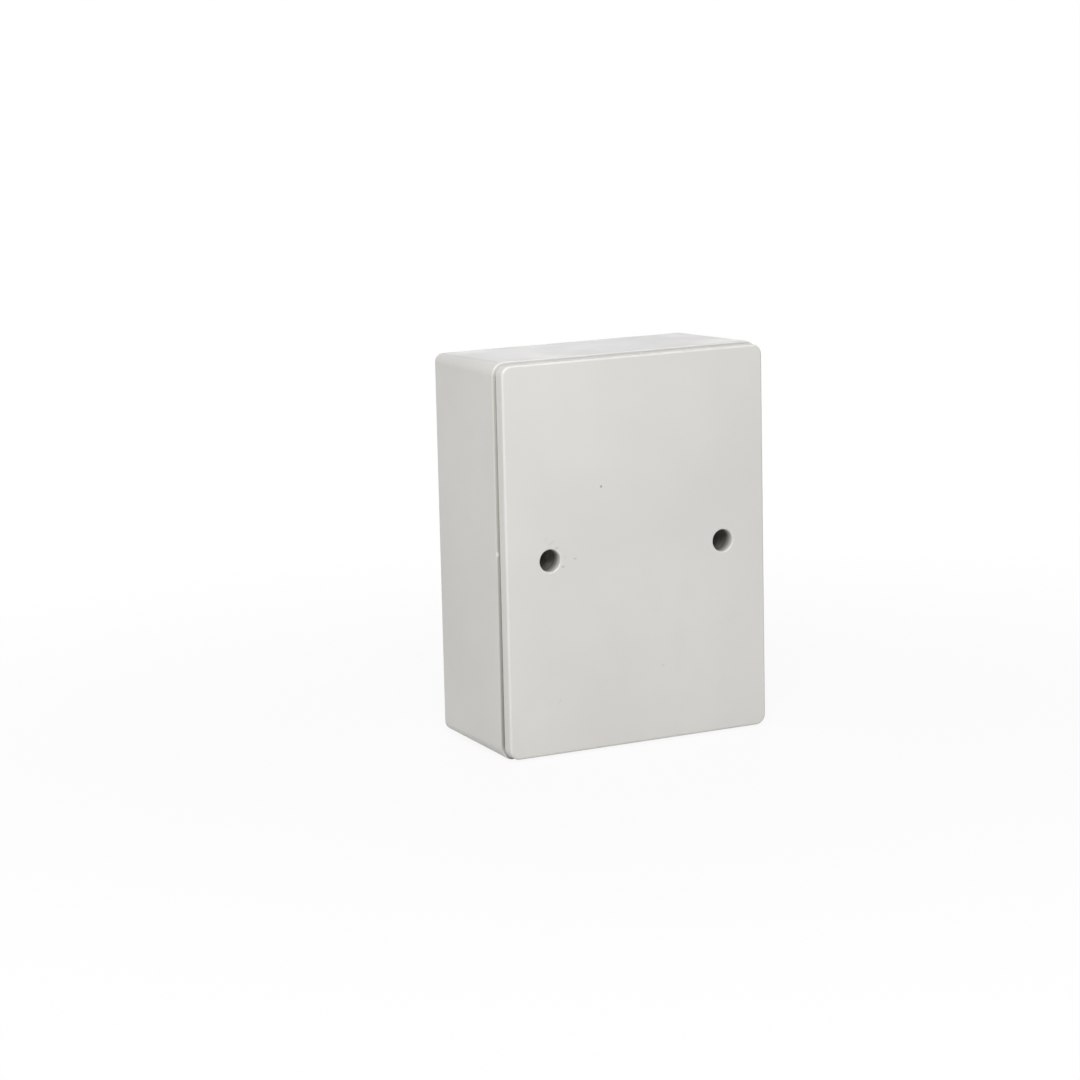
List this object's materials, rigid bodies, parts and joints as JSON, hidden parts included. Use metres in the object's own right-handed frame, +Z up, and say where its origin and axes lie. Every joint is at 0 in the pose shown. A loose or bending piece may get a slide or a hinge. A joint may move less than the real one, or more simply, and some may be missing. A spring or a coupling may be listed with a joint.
{
  "type": "staircase timer switch",
  "caption": "Surface-mounted staircase timer in a small plastic box with a screw-on rear plate, a delay dial, a lamp, a relay and screw terminals.",
  "frame": {"origin": "centre of the rear plate's outer face, which goes against the wall", "axes": "+Z up, +Y into the wall, the front with the dial on -Y, +X to the right seen from the front"},
  "size_m": [0.0504, 0.026, 0.0668],
  "materials": {
    "case_plastic": "fine matt, light warm grey",
    "label_film": "satin printed film",
    "dial_plastic": "satin dark grey",
    "white_plastic": "natural white",
    "blue_plastic": "satin blue",
    "spring_bronze": "rolled strip",
    "carbon_track": "printed carbon",
    "board_laminate": "green solder mask",
    "zinc_steel": "zinc plated",
    "terminal_plastic": "dark grey polyamide",
    "tinned_metal": "tinned",
    "relay_plastic": "glossy black",
    "copper_wire": "enamelled copper",
    "soft_iron": "nickel plated iron",
    "contact_silver": "silver alloy",
    "film_box": "yellow box",
    "can_sleeve": "dark sleeve",
    "black_plastic": "moulded epoxy",
    "resistor_coat": "beige lacquer",
    "diode_glass": "amber glass",
    "lamp_lens": "red diffusing lens"
  },
  "bodies": {
    "case": {"front_shell": "case_plastic", "scale_label": "label_film", "track_disc": "carbon_track", "potentiometer_case": "blue_plastic", "circuit_board": "board_laminate", "board_screws": "zinc_steel", "terminal_housing": "terminal_plastic", "terminal_tabs": "tinned_metal", "relay_cover": "relay_plastic", "relay_base": "relay_plastic", "relay_bobbin": "white_plastic", "relay_coil": "copper_wire", "relay_core": "soft_iron", "relay_yoke": "soft_iron", "fixed_contact": "contact_silver", "fixed_terminal": "tinned_metal", "coil_pins": "tinned_metal", "dropper_capacitor": "film_box", "smoothing_capacitor": "can_sleeve", "varistor": "blue_plastic", "fuse_link": "black_plastic", "bridge_rectifier": "black_plastic", "timer_chip": "black_plastic", "chip_legs": "tinned_metal", "driver_transistor": "black_plastic", "resistors": "resistor_coat", "zener_diode": "diode_glass", "lamp_led": "lamp_lens", "led_spacer": "white_plastic", "component_leads": "tinned_metal"},
    "rear_cover": {"rear_plate": "case_plastic"},
    "dial": {"time_dial": "dial_plastic", "timer_shaft": "white_plastic", "wiper_spring": "spring_bronze"},
    "armature": {"relay_armature": "soft_iron", "contact_spring": "spring_bronze", "moving_contact": "contact_silver"},
    "screw_1": {"terminal_screw_1": "zinc_steel"},
    "cage_1": {"clamp_cage_1": "zinc_steel"},
    "screw_2": {"terminal_screw_2": "zinc_steel"},
    "cage_2": {"clamp_cage_2": "zinc_steel"},
    "screw_3": {"terminal_screw_3": "zinc_steel"},
    "cage_3": {"clamp_cage_3": "zinc_steel"},
    "screw_4": {"terminal_screw_4": "zinc_steel"},
    "cage_4": {"clamp_cage_4": "zinc_steel"}
  },
  "joints": [
    {"name": "rear_plate_pull", "type": "slide", "parent": "case", "child": "rear_cover", "axis": [0, 1, 0], "range_m": [0, 0.03]},
    {"name": "dial_turn", "type": "hinge", "parent": "case", "child": "dial", "pos_m": [-0.005, -0.026, 0.0184], "axis": [0, 1, 0], "range_deg": [-135, 135]},
    {"name": "armature_rock", "type": "hinge", "parent": "case", "child": "armature", "pos_m": [-0.0042, -0.0202, 0.00473], "axis": [-1, 0, 0], "range_deg": [0, 3], "stiffness_Nm_per_rad": 0.01, "springref_deg": -5.73},
    {"name": "screw_turn_1", "type": "hinge", "parent": "case", "child": "screw_1", "pos_m": [-0.0144, -0.007, -0.02464], "axis": [0, 1, 0], "range_deg": [0, 1872]},
    {"name": "cage_rise_1", "type": "slide", "parent": "case", "child": "cage_1", "axis": [0, -1, 0], "range_m": [0, 0.0026]},
    {"name": "screw_turn_2", "type": "hinge", "parent": "case", "child": "screw_2", "pos_m": [-0.0048, -0.007, -0.02464], "axis": [0, 1, 0], "range_deg": [0, 1872]},
    {"name": "cage_rise_2", "type": "slide", "parent": "case", "child": "cage_2", "axis": [0, -1, 0], "range_m": [0, 0.0026]},
    {"name": "screw_turn_3", "type": "hinge", "parent": "case", "child": "screw_3", "pos_m": [0.0048, -0.007, -0.02464], "axis": [0, 1, 0], "range_deg": [0, 1872]},
    {"name": "cage_rise_3", "type": "slide", "parent": "case", "child": "cage_3", "axis": [0, -1, 0], "range_m": [0, 0.0026]},
    {"name": "screw_turn_4", "type": "hinge", "parent": "case", "child": "screw_4", "pos_m": [0.0144, -0.007, -0.02464], "axis": [0, 1, 0], "range_deg": [0, 1872]},
    {"name": "cage_rise_4", "type": "slide", "parent": "case", "child": "cage_4", "axis": [0, -1, 0], "range_m": [0, 0.0026]}
  ],
  "couplings": [
    {"joint": "screw_turn_1", "follows": "cage_rise_1", "rad_per_m": 12566},
    {"joint": "screw_turn_2", "follows": "cage_rise_2", "rad_per_m": 12566},
    {"joint": "screw_turn_3", "follows": "cage_rise_3", "rad_per_m": 12566},
    {"joint": "screw_turn_4", "follows": "cage_rise_4", "rad_per_m": 12566}
  ]
}
